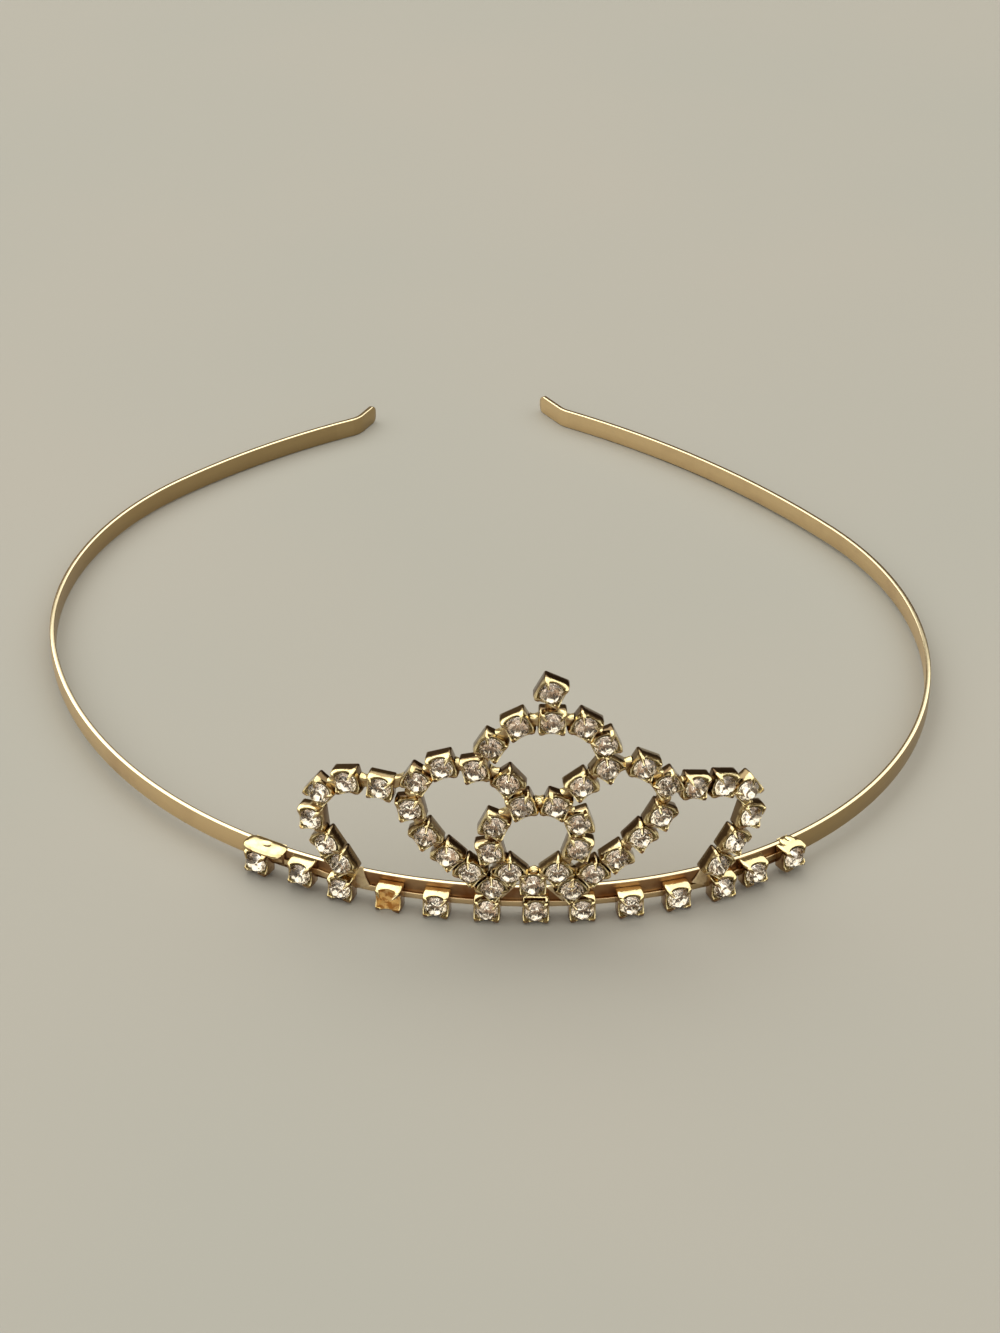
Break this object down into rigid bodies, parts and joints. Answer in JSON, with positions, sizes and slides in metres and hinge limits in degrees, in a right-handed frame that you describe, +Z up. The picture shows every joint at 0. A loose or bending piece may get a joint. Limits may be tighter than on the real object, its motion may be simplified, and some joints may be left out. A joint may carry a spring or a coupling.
{
  "type": "mini crown headband",
  "caption": "Flat metal headband standing on its edge, open at the back, with a small upright crown of claw-set stones soldered to its front.",
  "frame": {"origin": "middle of the whole's footprint, on the surface that it stands on", "axes": "+Z up as it lies at rest, +Y from the crown at the front to the open back, +X to the right as seen from the front"},
  "size_m": [0.1334, 0.1384, 0.0404],
  "materials": {
    "band_gold": "brushed pale gold plate, slightly worn",
    "cup_gold": "bright pale gold plate with brown tarnish in the corners",
    "crystal": "cut glass, foiled back"
  },
  "bodies": {
    "root": {"headband": "band_gold", "crown_setting": "cup_gold", "base_stones": "crystal", "left_outer_stones": "crystal", "left_inner_stones": "crystal", "centre_ring_stones": "crystal", "top_ring_stones": "crystal", "right_inner_stones": "crystal", "right_outer_stones": "crystal", "finial_stone": "crystal"}
  },
  "joints": []
}
